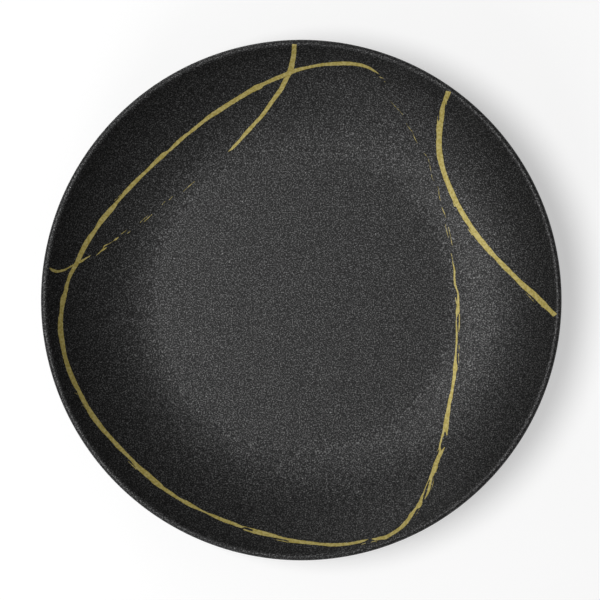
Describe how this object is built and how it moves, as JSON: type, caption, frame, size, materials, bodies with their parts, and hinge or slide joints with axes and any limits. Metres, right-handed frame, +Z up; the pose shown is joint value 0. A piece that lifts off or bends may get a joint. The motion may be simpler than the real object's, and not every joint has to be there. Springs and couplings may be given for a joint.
{
  "type": "kintsugi-style coupe plate",
  "caption": "Round matte black coupe plate with a flat floor, a rising curved wall and a foot ring, decorated with brushed gold repair-style seams. Holds food or displays.",
  "frame": {"origin": "on the plate's axis, in the plane that the foot ring stands on", "axes": "+Z up along the plate's axis, out of the well; +X to the right and +Y to the top of the decoration as the picture shows it from above"},
  "size_m": [0.26, 0.26, 0.038],
  "materials": {
    "black_glaze": "matte, fine-grained black glaze with flat brushed gold strokes on the well"
  },
  "bodies": {
    "root": {"plate": "black_glaze"}
  },
  "joints": []
}
